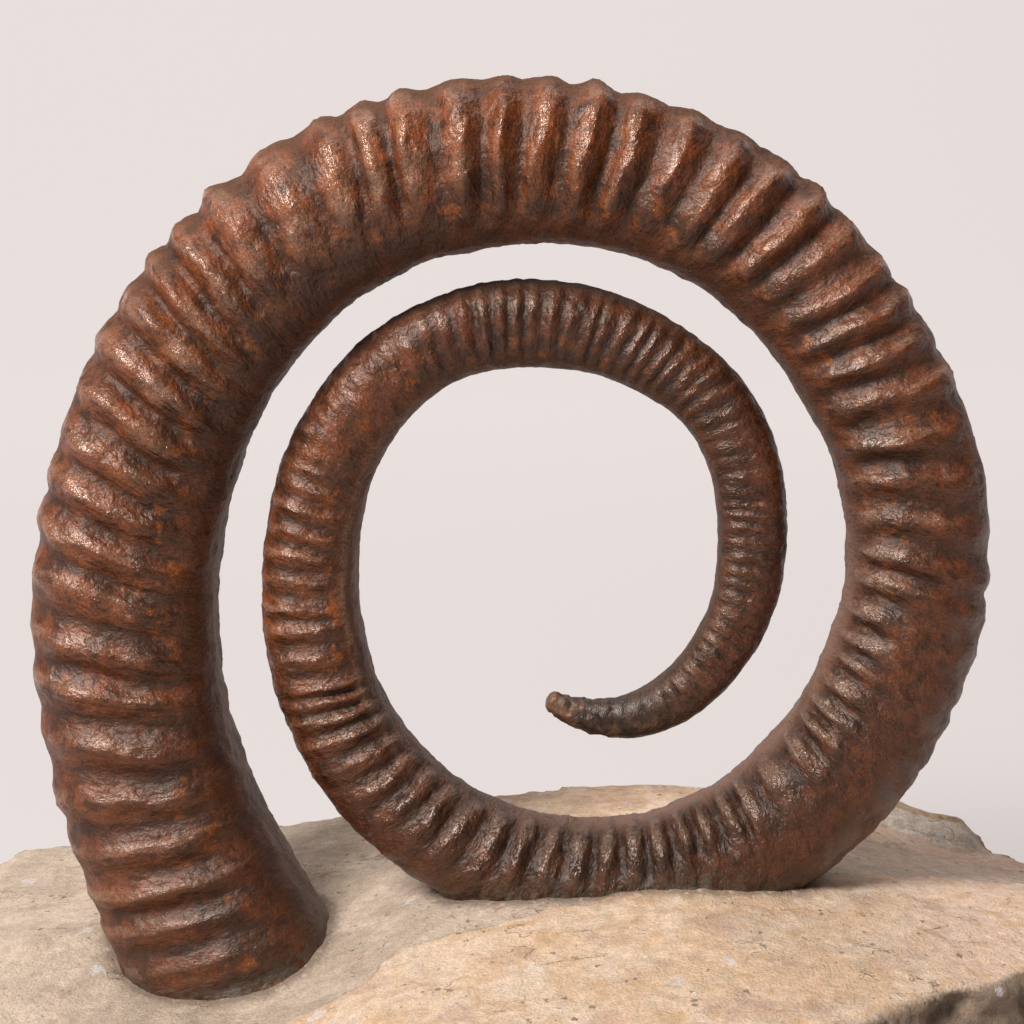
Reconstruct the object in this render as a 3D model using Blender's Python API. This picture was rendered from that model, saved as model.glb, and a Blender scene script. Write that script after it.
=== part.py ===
"""Fossil ammonite with open coils, standing in its own block of limestone.

The shell is one ribbed tube that grows from a thumb-thin tip through almost two open turns
in an upright plane and ends in a wide foot. The bottom of its loop and the foot sit in
sockets in the domed top of the stone. Lengths are in metres, angles in degrees, and +Z is up.
"""

import math
import random

import bmesh
import bpy
import numpy as np
from mathutils import Vector, noise

# ---- the coil --------------------------------------------------------------------------
# Angles run anticlockwise seen from the front (-Y), from the tip to the foot. Each table
# holds one value for every STATION_STEP degrees from STATION_START.
STATION_START = 270.0
STATION_STEP = 30.0
INNER_RADIUS = (  # from the coil's centre to the tube's inner edge
    0.0380, 0.0470, 0.0470, 0.0445, 0.0445, 0.0410, 0.0395, 0.0405, 0.0400, 0.0415,
    0.0475, 0.0595, 0.0700, 0.0775, 0.0775, 0.0755, 0.0710, 0.0700, 0.0685, 0.0690,
    0.0700, 0.0745, 0.0865, 0.1095, 0.1635)
TUBE_HEIGHT = (  # across the tube, from its inner to its outer edge
    0.0040, 0.0105, 0.0145, 0.0165, 0.0170, 0.0190, 0.0205, 0.0200, 0.0210, 0.0220,
    0.0235, 0.0250, 0.0280, 0.0320, 0.0335, 0.0335, 0.0335, 0.0350, 0.0380, 0.0395,
    0.0410, 0.0430, 0.0440, 0.0485, 0.0540)
RIBS_SO_FAR = (  # ribs counted from the tip
    -9.0, 0.0, 8.0, 16.0, 23.5, 30.5, 37.0, 43.0, 50.0, 56.0,
    60.5, 66.5, 72.5, 79.0, 85.5, 92.0, 96.5, 101.5, 106.0, 111.0,
    116.5, 121.5, 126.0, 131.5, 139.0)
RIB_LEAN = (  # degrees at mid flank: a rib's inner end lies ahead of its outer end
    0.0, 5.0, 8.0, 13.0, 13.0, 9.0, 5.0, 5.0, 6.0, 7.0,
    6.0, 7.0, 12.0, 16.0, 18.0, 18.0, 15.0, 9.0, 8.0, 9.0,
    13.0, 18.0, 15.0, 12.0, 10.0)
COIL_CENTRE = Vector((0.0050, 0.0, 0.1506))
FOOT_ANGLE = 978.0
SLOPE_REACH = 0.5  # half the stretch over which the coil's opening is measured
COUNT_STEP = 0.25  # fineness of the rib count along the coil
FOOT_CUT_HEIGHT = 0.032  # the buried foot ends flat here

# ---- the tube's section and ribs -------------------------------------------------------
WIDTH_TO_HEIGHT = 1.0
OUTER_SQUARENESS = 2.25  # superellipse powers: 2 is round, more is boxier
INNER_SQUARENESS = 2.9
SIDE_ANGLES = (0, 32, 62, 90, 118, 148, -148, -118, -90, -62, -32)  # from the outer edge
RIB_DEPTH = 0.060  # crest to furrow, as a share of the tube's height
RIB_FADE_START = 112.0  # around the tube from the outer edge, where ribs begin to fade
RIB_FADE_END = 160.0
OUTER_EDGE_SHARE = 0.6  # of a rib's height, where it crosses the outer edge
OUTER_EDGE_REACH = 60.0
BROAD_RIBS_FROM = 24  # ribs from here on have a flat top and a narrow furrow
BROAD_CREST = 0.62
FINE_RIB = ((0.0, 1.0), (0.5, -1.0))  # place along one rib, and height there
BROAD_RIB = ((-0.18, BROAD_CREST), (0.18, BROAD_CREST), (0.5, -1.0))
RIB_UNEVENNESS = 0.22
WORN_PLACES = ((497.0, 36.0, 0.55), (850.0, 26.0, 0.45))  # middle, reach, share worn away
WORN_THROUGH = 0.4  # share of the reach over which a worn place is at its smoothest
SMOOTH_TIP_END = 300.0
SMOOTH_TIP_BLEND = 8.0
TIP_RINGS = (276.0, 278.0, 281.0, 285.0, 291.0, 297.0)
TIP_KNOB = 0.06  # swelling of the blunt tip, as a share of the tube's half height
TIP_KNOB_REACH = 3.0
RIB_SEED = 11

# ---- the stone -------------------------------------------------------------------------
STONE_LENGTH = 0.290
STONE_DEPTH = 0.167
STONE_OUTLINE = (  # corners of the block's plan, from the left end round by the front
    (-0.144, -0.022), (-0.137, -0.058), (-0.112, -0.080), (-0.040, -0.084),
    (0.022, -0.085), (0.060, -0.083), (0.072, -0.072), (0.083, -0.061),
    (0.106, -0.047), (0.120, -0.036), (0.143, -0.020), (0.145, 0.030),
    (0.141, 0.060), (0.114, 0.081), (0.040, 0.083), (-0.036, 0.082),
    (-0.098, 0.083), (-0.140, 0.082), (-0.145, 0.068))
CROWN_HEIGHT = 0.0650
CROWN_X = 0.042
DOME_SLOPE = 0.135  # fall to either side, away from the rounded crown
DOME_ROUND = 0.030
FRONT_SLOPE = 0.13
FRONT_SLOPE_START = -0.015
BACK_SLOPE = 0.035
FOOT_HOLLOW_SLOPE = 0.28  # the ground falls away in front of the foot
FOOT_HOLLOW_DEPTH = 0.012
FOOT_HOLLOW_LEFT = -0.070
FOOT_HOLLOW_RIGHT = -0.018
LEDGE_START = Vector((0.086, 0.058))  # front edge of the raised layer at the back right
LEDGE_ALONG = Vector((0.92, 0.39))
LEDGE_RISE = 0.0012
LEDGE_DIP = 0.0035
LEDGE_ENDS = (-0.004, 0.010)  # along the layer: where it starts, and where it is full height
LEDGE_FACE = (-0.001, 0.003)  # across it, towards the back: foot and top of its front face
DIP_SPAN = (-0.026, -0.008, -0.003, 0.001)  # start, bottom, bottom's end and end of the dip
RIM_ROLL_SIDE = Vector((-0.6, -0.8))  # the rim is worn round on this side only
RIM_DROP = 0.0065
LUMP_SIZE = 0.034
LUMP_HEIGHT = 0.0011
LUMP_PATTERN = 0.3
BREAK_SIZE = 0.020
BREAK_DEPTH = 0.0032
SIDE_RINGS = ((0.0015, 0.62), (0.0020, 0.28), (-0.0030, 0.0))  # outwards, share of height
GRID_CELLS = (22, 13)
SHARP_EDGE = 35.0  # edges that bend more than this look broken

SOCKET_CLEARANCE = 0.0005
SOCKET_STEP = 4.0
LOOP_SOCKET = (576.0, 712.0)
FOOT_SOCKET = (926.0, 978.0)

SHELL_COLOUR = (0.165, 0.058, 0.032, 1.0)
STONE_COLOUR = (0.545, 0.430, 0.300, 1.0)


# ---- helpers ---------------------------------------------------------------------------
def station_value(table, angle):
    """Read a station table at any angle, on a smooth curve through its values."""
    place = (angle - STATION_START) / STATION_STEP
    index = min(max(int(place), 0), len(table) - 2)
    t = place - index
    start, end = table[index], table[index + 1]
    start_slope = (end - table[index - 1]) / 2 if index > 0 else end - start
    end_slope = (table[index + 2] - start) / 2 if index + 2 < len(table) else end - start
    return ((1 + 2 * t) * (1 - t) ** 2 * start + t * (1 - t) ** 2 * start_slope
            + t * t * (3 - 2 * t) * end + t * t * (t - 1) * end_slope)


def smooth_step(low, high, value):
    """0 below low, 1 above high, and an even curve between."""
    t = min(max((value - low) / (high - low), 0.0), 1.0)
    return t * t * (3 - 2 * t)


def coil_frame(angle):
    """The tube's inner edge at an angle, its direction of growth, and the way outwards."""
    turn = math.radians(angle)
    spoke = Vector((math.cos(turn), 0.0, math.sin(turn)))
    radius = station_value(INNER_RADIUS, angle)
    before = station_value(INNER_RADIUS, angle - SLOPE_REACH)
    after = station_value(INNER_RADIUS, angle + SLOPE_REACH)
    slope = (after - before) / math.radians(2 * SLOPE_REACH)
    growth = (Vector((-spoke.z, 0.0, spoke.x)) * radius + spoke * slope).normalized()
    outwards = Vector((growth.z, 0.0, -growth.x))
    return COIL_CENTRE + spoke * radius, growth, outwards


def section_radius(around):
    """Distance from the tube's middle to its skin, for a tube one unit high."""
    inner_share = (1 - math.cos(around)) / 2
    power = OUTER_SQUARENESS + (INNER_SQUARENESS - OUTER_SQUARENESS) * inner_share
    up = abs(math.cos(around) * 2) ** power
    side = abs(math.sin(around) * 2 / WIDTH_TO_HEIGHT) ** power
    return (up + side) ** (-1 / power)


def rib_share(degrees):
    """1 where ribs stand at full height on the flanks, 0 on the smooth inner edge."""
    degrees = abs(degrees)
    flank = OUTER_EDGE_SHARE + (1 - OUTER_EDGE_SHARE) * smooth_step(0, OUTER_EDGE_REACH, degrees)
    return flank * (1 - smooth_step(RIB_FADE_START, RIB_FADE_END, degrees))


def wear(angle):
    """Share of a rib's height that is left at an angle."""
    left = smooth_step(SMOOTH_TIP_END - SMOOTH_TIP_BLEND, SMOOTH_TIP_END + SMOOTH_TIP_BLEND, angle)
    for middle, reach, worn in WORN_PLACES:
        away = abs(angle - middle)
        left *= 1 - worn * (1 - smooth_step(WORN_THROUGH * reach, reach, away))
    return left


def lag(angle, around):
    """How many degrees of turn the skin of a leaning ring lies behind its mid flank."""
    height = station_value(TUBE_HEIGHT, angle)
    middle_radius = station_value(INNER_RADIUS, angle) + height / 2
    lean = math.tan(math.radians(station_value(RIB_LEAN, angle)))
    behind = lean * height / math.pi * math.sin(math.cos(around) * math.pi / 2)
    return math.degrees(behind / middle_radius)


def ring_points(angle, swell, leaning=True, margin=0.0):
    """Points round the tube; swell raises the ribbed skin, margin moves all of it out."""
    points = []
    for degrees in SIDE_ANGLES:
        around = math.radians(degrees)
        place = angle - lag(angle, around) if leaning else angle
        edge, _, outwards = coil_frame(place)
        height = station_value(TUBE_HEIGHT, place)
        radius = height * section_radius(around) + margin
        radius += height * RIB_DEPTH / 2 * swell * rib_share(degrees)
        middle = edge + outwards * height / 2
        across = Vector((0.0, -1.0, 0.0))
        points.append(middle + outwards * radius * math.cos(around)
                      + across * radius * math.sin(around))
    return points


def loft(rings, furrows=()):
    """One closed body through rings of points, with a crease along the furrow rings."""
    bm = bmesh.new()
    sides = len(SIDE_ANGLES)
    loops = [[bm.verts.new(point) for point in ring] for ring in rings]
    for lower, upper in zip(loops, loops[1:]):
        for side in range(sides):
            after = (side + 1) % sides
            face = bm.faces.new((lower[side], lower[after], upper[after], upper[side]))
            face.smooth = True
    for number in furrows:
        for side in range(sides):
            after = (side + 1) % sides
            if min(rib_share(SIDE_ANGLES[side]), rib_share(SIDE_ANGLES[after])) > 0:
                bm.edges.get((loops[number][side], loops[number][after])).smooth = False
    bm.faces.new(loops[0])
    bm.faces.new(loops[-1])
    bmesh.ops.recalc_face_normals(bm, faces=bm.faces)
    return bm


def cut_foot(bm, height):
    """Cut the tube off flat below a height and close it."""
    geometry = bm.verts[:] + bm.edges[:] + bm.faces[:]
    bmesh.ops.bisect_plane(
        bm, geom=geometry, plane_co=(0.0, 0.0, height), plane_no=(0.0, 0.0, -1.0),
        clear_outer=True)
    open_edges = [edge for edge in bm.edges if edge.is_boundary]
    bmesh.ops.holes_fill(bm, edges=open_edges, sides=0)
    bmesh.ops.recalc_face_normals(bm, faces=bm.faces)


def new_material(name, colour, roughness):
    """A plain finish with a colour and a roughness."""
    material = bpy.data.materials.new(name)
    material.use_nodes = True
    finish = material.node_tree.nodes["Principled BSDF"]
    finish.inputs["Base Color"].default_value = colour
    finish.inputs["Roughness"].default_value = roughness
    finish.inputs["Metallic"].default_value = 0.0
    material.diffuse_color = colour
    return material


def new_object(name, bm, collection):
    """Turn a bmesh into an object in a collection."""
    mesh = bpy.data.meshes.new(name)
    bm.to_mesh(mesh)
    bm.free()
    item = bpy.data.objects.new(name, mesh)
    collection.objects.link(item)
    return item


# ---- the shell -------------------------------------------------------------------------
def rib_rings():
    """Angle and height of every ring of the ribbed tube, in order of growth."""
    angles = np.arange(TIP_RINGS[0], FOOT_ANGLE, COUNT_STEP)
    counts = [station_value(RIBS_SO_FAR, angle) for angle in angles]
    chance = random.Random(RIB_SEED)
    rings = []
    for rib in range(1, int(counts[-1])):
        strength = 1 + chance.uniform(-RIB_UNEVENNESS, RIB_UNEVENNESS)
        profile = BROAD_RIB if rib >= BROAD_RIBS_FROM else FINE_RIB
        for shift, rise in profile:
            angle = float(np.interp(rib + shift, counts, angles))
            rings.append((angle, rise * strength * wear(angle)))
    return rings


def build_shell(collection):
    """The whole ammonite: tip, ribbed coil and flat-cut foot."""
    rings = []
    furrows = []
    for angle in TIP_RINGS:
        knob = TIP_KNOB * (1 - smooth_step(0, TIP_KNOB_REACH, angle - TIP_RINGS[0]))
        margin = knob * station_value(TUBE_HEIGHT, angle) / 2
        rings.append(ring_points(angle, 0.0, leaning=False, margin=margin))
    for angle, swell in rib_rings():
        if swell < 0:
            furrows.append(len(rings))
        rings.append(ring_points(angle, swell))
    bm = loft(rings, furrows)
    cut_foot(bm, FOOT_CUT_HEIGHT)
    shell = new_object("ammonite_shell", bm, collection)
    shell.data.materials.append(new_material("brown_fossil_shell", SHELL_COLOUR, 0.45))
    return shell


# ---- the stone -------------------------------------------------------------------------
def outline_reach(direction):
    """Distance from the middle of the block to its outline in one direction of the plan."""
    best = 0.0
    for start, end in zip(STONE_OUTLINE, STONE_OUTLINE[1:] + STONE_OUTLINE[:1]):
        first = Vector(start)
        side = Vector(end) - first
        cross = direction.cross(side)
        if abs(cross) < 1e-9:
            continue
        reach = first.cross(side) / cross
        share = first.cross(direction) / cross
        if reach > 0 and -1e-6 <= share <= 1 + 1e-6:
            best = max(best, reach)
    return best


def stone_top(x, y):
    """Height of the block's upper surface."""
    height = CROWN_HEIGHT - DOME_SLOPE * (math.hypot(x - CROWN_X, DOME_ROUND) - DOME_ROUND)
    height -= FRONT_SLOPE * max(FRONT_SLOPE_START - y, 0.0) + BACK_SLOPE * max(y, 0.0)
    fall = FOOT_HOLLOW_SLOPE * max(-y, 0.0)
    fall = FOOT_HOLLOW_DEPTH * (1 - math.exp(-fall / FOOT_HOLLOW_DEPTH))
    height -= fall * (1 - smooth_step(FOOT_HOLLOW_LEFT, FOOT_HOLLOW_RIGHT, x))
    height += LUMP_HEIGHT * noise.noise(Vector((x, y, LUMP_PATTERN)) / LUMP_SIZE)
    return height + ledge_height(x, y)


def ledge_height(x, y):
    """Rise of the broken layer at the back right, with the shallow dip in front of it."""
    from_start = Vector((x, y)) - LEDGE_START
    along = from_start.dot(LEDGE_ALONG)
    behind = from_start.dot(Vector((-LEDGE_ALONG.y, LEDGE_ALONG.x)))
    rise = LEDGE_RISE * smooth_step(*LEDGE_FACE, behind)
    dip = LEDGE_DIP * smooth_step(*DIP_SPAN[:2], behind) * (1 - smooth_step(*DIP_SPAN[2:], behind))
    return smooth_step(*LEDGE_ENDS, along) * (rise - dip)


def stone_cage():
    """The block before its sockets: a domed top, broken sides and a flat underside."""
    bm = bmesh.new()
    bmesh.ops.create_grid(bm, x_segments=GRID_CELLS[0], y_segments=GRID_CELLS[1], size=1.0)
    for vert in bm.verts:
        share = max(abs(vert.co.x), abs(vert.co.y))
        if share > 0:
            direction = Vector((vert.co.x * STONE_LENGTH, vert.co.y * STONE_DEPTH)).normalized()
            vert.co.xy = direction * outline_reach(direction) * share
        vert.co.z = 0.0
    for offset in LEDGE_FACE:
        side = Vector((-LEDGE_ALONG.y, LEDGE_ALONG.x, 0.0))
        geometry = bm.verts[:] + bm.edges[:] + bm.faces[:]
        bmesh.ops.bisect_plane(
            bm, geom=geometry, plane_co=LEDGE_START.to_3d() + side * offset, plane_no=side)
    rim = [edge for edge in bm.edges if edge.is_boundary]
    rim_verts = {vert for edge in rim for vert in edge.verts}
    for vert in bm.verts:
        vert.co.z = stone_top(vert.co.x, vert.co.y)
        if vert in rim_verts:
            vert.co.z -= RIM_DROP * smooth_step(0, 1, vert.co.xy.normalized().dot(RIM_ROLL_SIDE))
    add_sides(bm, rim)
    bmesh.ops.recalc_face_normals(bm, faces=bm.faces)
    return bm


def add_sides(bm, rim):
    """Draw the rim down in rings to the flat underside, and close it."""
    heights = {vert: vert.co.z for edge in rim for vert in edge.verts}
    edges = rim
    for outwards, share in SIDE_RINGS:
        above = {vert: heights[vert] for edge in edges for vert in edge.verts}
        made = bmesh.ops.extrude_edge_only(bm, edges=edges)["geom"]
        edges = [item for item in made if isinstance(item, bmesh.types.BMEdge)]
        fresh = [item for item in made if isinstance(item, bmesh.types.BMVert)]
        for vert in fresh:
            source = next(edge.other_vert(vert) for edge in vert.link_edges
                          if edge.other_vert(vert) in above)
            heights[vert] = above[source]
            spread = outwards
            if share > 0:
                spread += BREAK_DEPTH * noise.noise(vert.co / BREAK_SIZE)
            vert.co.xy += vert.co.xy.normalized() * spread
            vert.co.z = heights[vert] * share
        edges = [edge for edge in edges if edge.is_boundary]
    bmesh.ops.contextual_create(bm, geom=edges)


def fit_to_size(bm):
    """Centre the block and bring its length and depth to their exact values."""
    for axis, size in ((0, STONE_LENGTH), (1, STONE_DEPTH)):
        low = min(vert.co[axis] for vert in bm.verts)
        high = max(vert.co[axis] for vert in bm.verts)
        for vert in bm.verts:
            vert.co[axis] = ((vert.co[axis] - low) / (high - low) - 0.5) * size


def add_socket(stone, name, span, collection):
    """Cut a socket for the stretch of tube between two angles."""
    count = round((span[1] - span[0]) / SOCKET_STEP)
    angles = [span[0] + (span[1] - span[0]) * step / count for step in range(count + 1)]
    swell = BROAD_CREST * (1 + RIB_UNEVENNESS)
    rings = [ring_points(angle, swell, leaning=False, margin=SOCKET_CLEARANCE)
             for angle in angles]
    bm = loft(rings)
    if span == FOOT_SOCKET:
        cut_foot(bm, FOOT_CUT_HEIGHT - SOCKET_CLEARANCE)
    cutter = new_object(name, bm, collection)
    cutter.hide_render = True
    cutter.display_type = "WIRE"
    modifier = stone.modifiers.new(name, "BOOLEAN")
    modifier.operation = "DIFFERENCE"
    modifier.solver = "EXACT"
    modifier.object = cutter


def build_stone(collection, cutters):
    """The limestone block with the two sockets that hold the shell."""
    bm = stone_cage()
    fit_to_size(bm)
    stone = new_object("limestone_block", bm, collection)
    stone.data.shade_smooth()
    stone.data.set_sharp_from_angle(angle=math.radians(SHARP_EDGE))
    stone.data.materials.append(new_material("cream_limestone", STONE_COLOUR, 0.9))
    add_socket(stone, "loop_socket", LOOP_SOCKET, cutters)
    add_socket(stone, "foot_socket", FOOT_SOCKET, cutters)
    return stone


def main():
    for item in list(bpy.data.objects):
        bpy.data.objects.remove(item, do_unlink=True)
    parts = bpy.data.collections.new("fossil_ammonite")
    cutters = bpy.data.collections.new("cutters")
    bpy.context.scene.collection.children.link(parts)
    bpy.context.scene.collection.children.link(cutters)
    build_shell(parts)
    build_stone(parts, cutters)


main()
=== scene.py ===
"""Dressed model of an open-coiled fossil ammonite that stands in its own limestone block.

The shell and the stone are each one piece, shaped around the frame's solids. Lengths are in
metres, angles in degrees, +Z is up and the coil faces -Y.
"""

import math
import random

import bpy
import numpy as np
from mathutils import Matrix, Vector, noise
from mathutils.bvhtree import BVHTree


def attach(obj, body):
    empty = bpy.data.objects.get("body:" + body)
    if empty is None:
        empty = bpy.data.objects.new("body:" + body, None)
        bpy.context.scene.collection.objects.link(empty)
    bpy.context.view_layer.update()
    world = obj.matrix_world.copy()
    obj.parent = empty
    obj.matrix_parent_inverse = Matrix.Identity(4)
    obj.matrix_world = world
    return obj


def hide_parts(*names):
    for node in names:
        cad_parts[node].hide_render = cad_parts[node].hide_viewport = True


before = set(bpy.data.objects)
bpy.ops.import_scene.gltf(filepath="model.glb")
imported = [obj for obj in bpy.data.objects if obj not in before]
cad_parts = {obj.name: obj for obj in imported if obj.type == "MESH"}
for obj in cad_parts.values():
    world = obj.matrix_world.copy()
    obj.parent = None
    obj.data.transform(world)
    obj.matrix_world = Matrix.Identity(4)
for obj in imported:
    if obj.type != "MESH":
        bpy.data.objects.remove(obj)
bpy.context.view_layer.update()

# ---- the coil --------------------------------------------------------------------------
# Angles run anticlockwise seen from the front, from the tip to the foot. Each table holds
# one value for every STATION_STEP degrees from STATION_START.
STATION_START = 270.0
STATION_STEP = 30.0
INNER_RADIUS = (  # from the coil's centre to the tube's inner edge
    0.0380, 0.0470, 0.0470, 0.0445, 0.0445, 0.0410, 0.0395, 0.0405, 0.0400, 0.0415,
    0.0475, 0.0595, 0.0712, 0.0777, 0.0775, 0.0755, 0.0710, 0.0700, 0.0685, 0.0690,
    0.0700, 0.0745, 0.0865, 0.1095, 0.1635)
TUBE_HEIGHT = (  # across the tube, from its inner to its outer edge
    0.0030, 0.0108, 0.0145, 0.0165, 0.0170, 0.0190, 0.0205, 0.0200, 0.0210, 0.0220,
    0.0235, 0.0250, 0.0270, 0.0318, 0.0335, 0.0335, 0.0335, 0.0350, 0.0380, 0.0395,
    0.0410, 0.0430, 0.0440, 0.0485, 0.0540)
RIB_LEAN = (  # degrees at mid flank: a rib's inner end lies ahead of its outer end
    0.0, 5.0, 8.0, 13.0, 13.0, 9.0, 5.0, 5.0, 6.0, 7.0,
    6.0, 7.0, 12.0, 16.0, 18.0, 18.0, 15.0, 9.0, 8.0, 9.0,
    13.0, 18.0, 15.0, 12.0, 10.0)
RIB_CRESTS = (  # the angle of every rib's crest at mid flank, from the tip on
    303.8, 307.2, 310.5, 313.2, 319.5, 322.5, 325.2, 328.5, 332.5, 336.8, 341.2, 345.2,
    348.5, 353.0, 357.2, 361.0, 365.2, 368.0, 371.2, 375.5, 380.0, 384.2, 388.2, 392.0,
    396.8, 401.0, 404.5, 409.0, 412.8, 417.2, 421.2, 425.8, 431.0, 434.2, 439.8, 444.8,
    450.5, 455.0, 459.5, 464.0, 468.8, 474.5, 478.8, 483.2, 488.2, 492.2, 497.0, 501.5,
    506.2, 510.8, 515.2, 519.8, 524.5, 529.0, 535.5, 542.2, 548.2, 554.8, 561.2, 566.5,
    573.8, 580.0, 583.5, 586.8, 591.0, 596.2, 601.8, 606.8, 612.0, 617.5, 623.0, 628.2,
    633.0, 638.0, 642.5, 647.2, 651.0, 655.2, 659.0, 663.5, 667.0, 672.8, 679.2, 684.0,
    687.5, 692.0, 696.5, 700.0, 705.2, 711.0, 715.5, 721.5, 727.5, 734.0, 741.2, 747.8,
    753.8, 759.5, 765.8, 771.5, 777.8, 783.2, 789.5, 796.2, 802.0, 809.0, 814.8, 820.8,
    828.2, 833.5, 838.8, 846.1, 854.7, 861.2, 866.5, 872.0, 878.5, 885.0, 891.8,
    898.2, 904.8, 911.2, 918.5, 924.2, 931.0, 937.2, 943.0, 948.5, 952.8, 957.8)
COIL_CENTRE = Vector((0.0050, 0.0, 0.1506))
TIP_ANGLE = 276.0
TIP_COUNT = -6.0  # ribs counted back to the tip, where the tube is smooth
FOOT_ANGLE = 978.0
FOOT_COUNT = 133.5
FOOT_CUT_HEIGHT = 0.032

WIDTH_TO_HEIGHT = 1.0
OUTER_SQUARENESS = 2.25  # superellipse powers: 2 is round, more is boxier
SQUARENESS_ANGLES = (276.0, 400.0, 500.0, 590.0, 612.0, 690.0, 760.0, 900.0, 978.0)
INNER_SQUARENESS = (2.4, 2.8, 2.8, 3.0, 2.1, 2.0, 2.4, 3.0, 2.6)
FOOT_FLARE = 0.0026
FOOT_FLARE_SPAN = (944.0, 974.0)
RIB_ANGLES = (
    300.0, 400.0, 470.0, 560.0, 610.0, 660.0, 705.0, 722.0,
    770.0, 800.0, 820.0, 842.0, 870.0, 925.0, 978.0)
RIB_DEPTHS = (  # crest to furrow, as a share of the tube's height
    0.030, 0.034, 0.050, 0.066, 0.082, 0.080, 0.070, 0.078,
    0.090, 0.097, 0.097, 0.092, 0.096, 0.070, 0.026)
OUTER_EDGE_SHARES = (  # of a rib's height that is left on the outer edge
    0.10, 0.12, 0.14, 0.24, 0.10, 0.16, 0.22, 0.28,
    0.40, 0.46, 0.46, 0.50, 0.38, 0.30, 0.10)
OUTER_EDGE_REACHES = (  # degrees around the tube at which ribs reach their full height
    112.0, 104.0, 74.0, 62.0, 122.0, 150.0, 146.0, 96.0,
    58.0, 54.0, 54.0, 50.0, 56.0, 60.0, 66.0)
OUTER_EDGE_STARTS = (  # share of that reach at which they begin to rise
    0.15, 0.15, 0.15, 0.15, 0.40, 0.60, 0.60, 0.30,
    0.15, 0.15, 0.15, 0.15, 0.15, 0.15, 0.15)
RIB_FADE_STARTS = (
    124.0, 120.0, 108.0, 100.0, 136.0, 148.0, 140.0, 128.0,
    104.0, 104.0, 98.0, 80.0, 96.0, 112.0, 104.0)
RIB_FADE_ENDS = (
    150.0, 150.0, 150.0, 138.0, 168.0, 178.0, 168.0, 160.0,
    144.0, 146.0, 140.0, 112.0, 144.0, 156.0, 156.0)
BACK_FADE = 26.0  # degrees sooner on the back
RIB_ROUNDNESS_ANGLES = (560.0, 610.0, 700.0, 760.0)
RIB_ROUNDNESS = (0.25, 0.85, 0.85, 0.25)  # 0 is a sharp ridge and a sharp furrow
RIB_UNEVENNESS = 0.28
EDGE_UNEVENNESS = 0.75
WORN_PLACES = ((505.0, 38.0, 0.70), (380.0, 16.0, 0.5))
LUMPY_PLACES = ((512.0, 44.0, 1.0), (330.0, 40.0, 0.5), (860.0, 30.0, 0.3))
TONE_ANGLES = (
    276.0, 300.0, 400.0, 450.0, 500.0, 560.0, 600.0,
    640.0, 700.0, 760.0, 830.0, 905.0, 940.0, 978.0)
TONES = (  # 1 is full colour
    0.48, 0.60, 0.56, 0.48, 0.82, 1.02, 0.66, 0.45, 0.67, 0.92, 1.22, 1.06, 0.82, 0.72)
MATT_SHARES = (0.4, 0.1, 0.3, 0.6, 0.3, 0.4, 0.1, 0.0, 0.5, 0.4, 0.0, 0.2, 0.6, 0.9)
INNER_TONE_ANGLES = (740.0, 790.0, 815.0, 840.0, 875.0, 905.0, 978.0)
INNER_TONES = (1.0, 0.80, 0.68, 0.48, 0.54, 0.76, 0.85)  # how dark the inner half is
INNER_TONE_SPAN = (76.0, 114.0)
KNOB_ANGLES = (284.0, 292.0, 345.0, 358.0, 600.0, 625.0, 712.0, 732.0, 815.0, 832.0, 880.0, 897.0)
KNOB_AROUNDS = (126.0, 126.0, 124.0, 124.0, 142.0, 143.0, 135.0, 130.0, 88.0, 88.0, 92.0, 92.0)
KNOB_STRENGTHS = (0.0, 0.7, 0.9, 0.0, 0.0, 1.0, 1.0, 0.0, 0.0, 0.5, 0.5, 0.0)  # rib ends, wrinkled, where the finish paints a highlight
KNOB_WIDTH = 14.0
KNOB_WRINKLES = 0.0008
WARMTH_ANGLES = (276.0, 330.0, 420.0, 560.0, 610.0, 690.0, 730.0, 860.0, 930.0, 978.0)
WARMTHS = (0.1, 0.6, 0.9, 0.85, 0.5, 0.55, 0.9, 1.0, 0.95, 0.85)  # how rusty the brown is
PALE_EDGE_ANGLES = (615.0, 650.0, 708.0, 726.0)  # the inner edge is paler between these
FILM_ANGLES = (652.0, 668.0, 712.0, 726.0)  # and a grey film lies beside the outer edge
FILM_AROUND = (44.0, 74.0)
TIP_DENTS = 0.00055
TIP_DENTS_END = (284.0, 302.0)
SEAM_ANGLES = (460.0, 500.0, 600.0, 625.0, 860.0, 885.0, 950.0, 975.0)
SEAM_AROUNDS = (135.0, 135.0, 135.0, 140.0, 164.0, 166.0, 166.0, 164.0)
SEAM_STRENGTHS = (0.0, 1.0, 1.0, 0.0, 0.0, 0.8, 0.8, 0.0)  # the pale line beside the inner edge
SEAM_WIDTH = 3.4
SEAM_HEIGHT = 0.00030
WORN_THROUGH = 0.4
SMOOTH_TIP_END = 300.0
SMOOTH_TIP_BLEND = 8.0
# Low relief on the shell: a height, and its size along and around the tube.
LUMPS = (0.00055, 0.014)
DENTS = (0.00040, (0.0042, 0.0055, 0.0055))
BEATEN = (0.00085, (0.0062, 0.0070, 0.0070))
BEATEN_AROUND = (85, 125)  # degrees around the tube over which the beating dies out
WRINKLES = (0.00024, (0.0022, 0.0042, 0.0042))
THREADS = (0.00016, (0.012, 0.0011, 0.0011))
SMALL_TUBE = (0.012, 0.036)  # relief is lower where the tube is thinner than this
SMALL_TUBE_SHARE = 0.35
TIP_LENGTH = 0.0016
TIP_BLUNTNESS = 0.18
SHADE_BAND = (116.0, 16.0)  # the middle and width of the dark band on the lower flank
OUTER_EDGE_AROUND = (15, 55)
SHELL_SIDES = 76
SHELL_CUTS = (3, 315)  # the tube is cut across into pieces, and each piece again

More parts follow.
